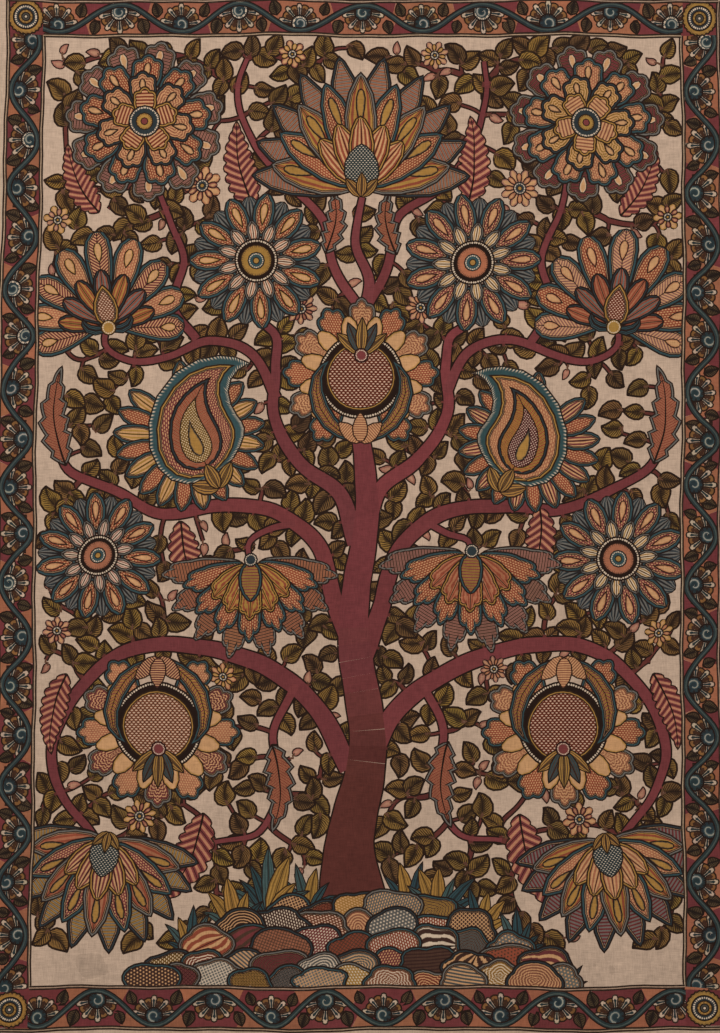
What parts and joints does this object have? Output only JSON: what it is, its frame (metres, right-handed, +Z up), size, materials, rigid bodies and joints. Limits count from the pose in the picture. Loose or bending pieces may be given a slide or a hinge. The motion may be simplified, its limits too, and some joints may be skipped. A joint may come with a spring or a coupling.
{
  "type": "kalamkari panel",
  "caption": "Flat rectangular cotton cloth with a narrow turned hem, hand painted and dyed with a flowering tree on a mound inside a scrolling flower border.",
  "frame": {"origin": "middle of the cloth's box, on the surface that the cloth lies on", "axes": "+X across the cloth to the painting's right, +Y along the cloth towards the painting's top, +Z up out of the painted face"},
  "size_m": [1.1462, 1.5956, 0.0042],
  "materials": {
    "dyed_cotton": "plain-woven cotton with matt vegetable dyes in ink-brown outlines, madder red, indigo, ochre and olive on a tan ground"
  },
  "bodies": {
    "root": {"painted_cloth": "dyed_cotton"}
  },
  "joints": []
}
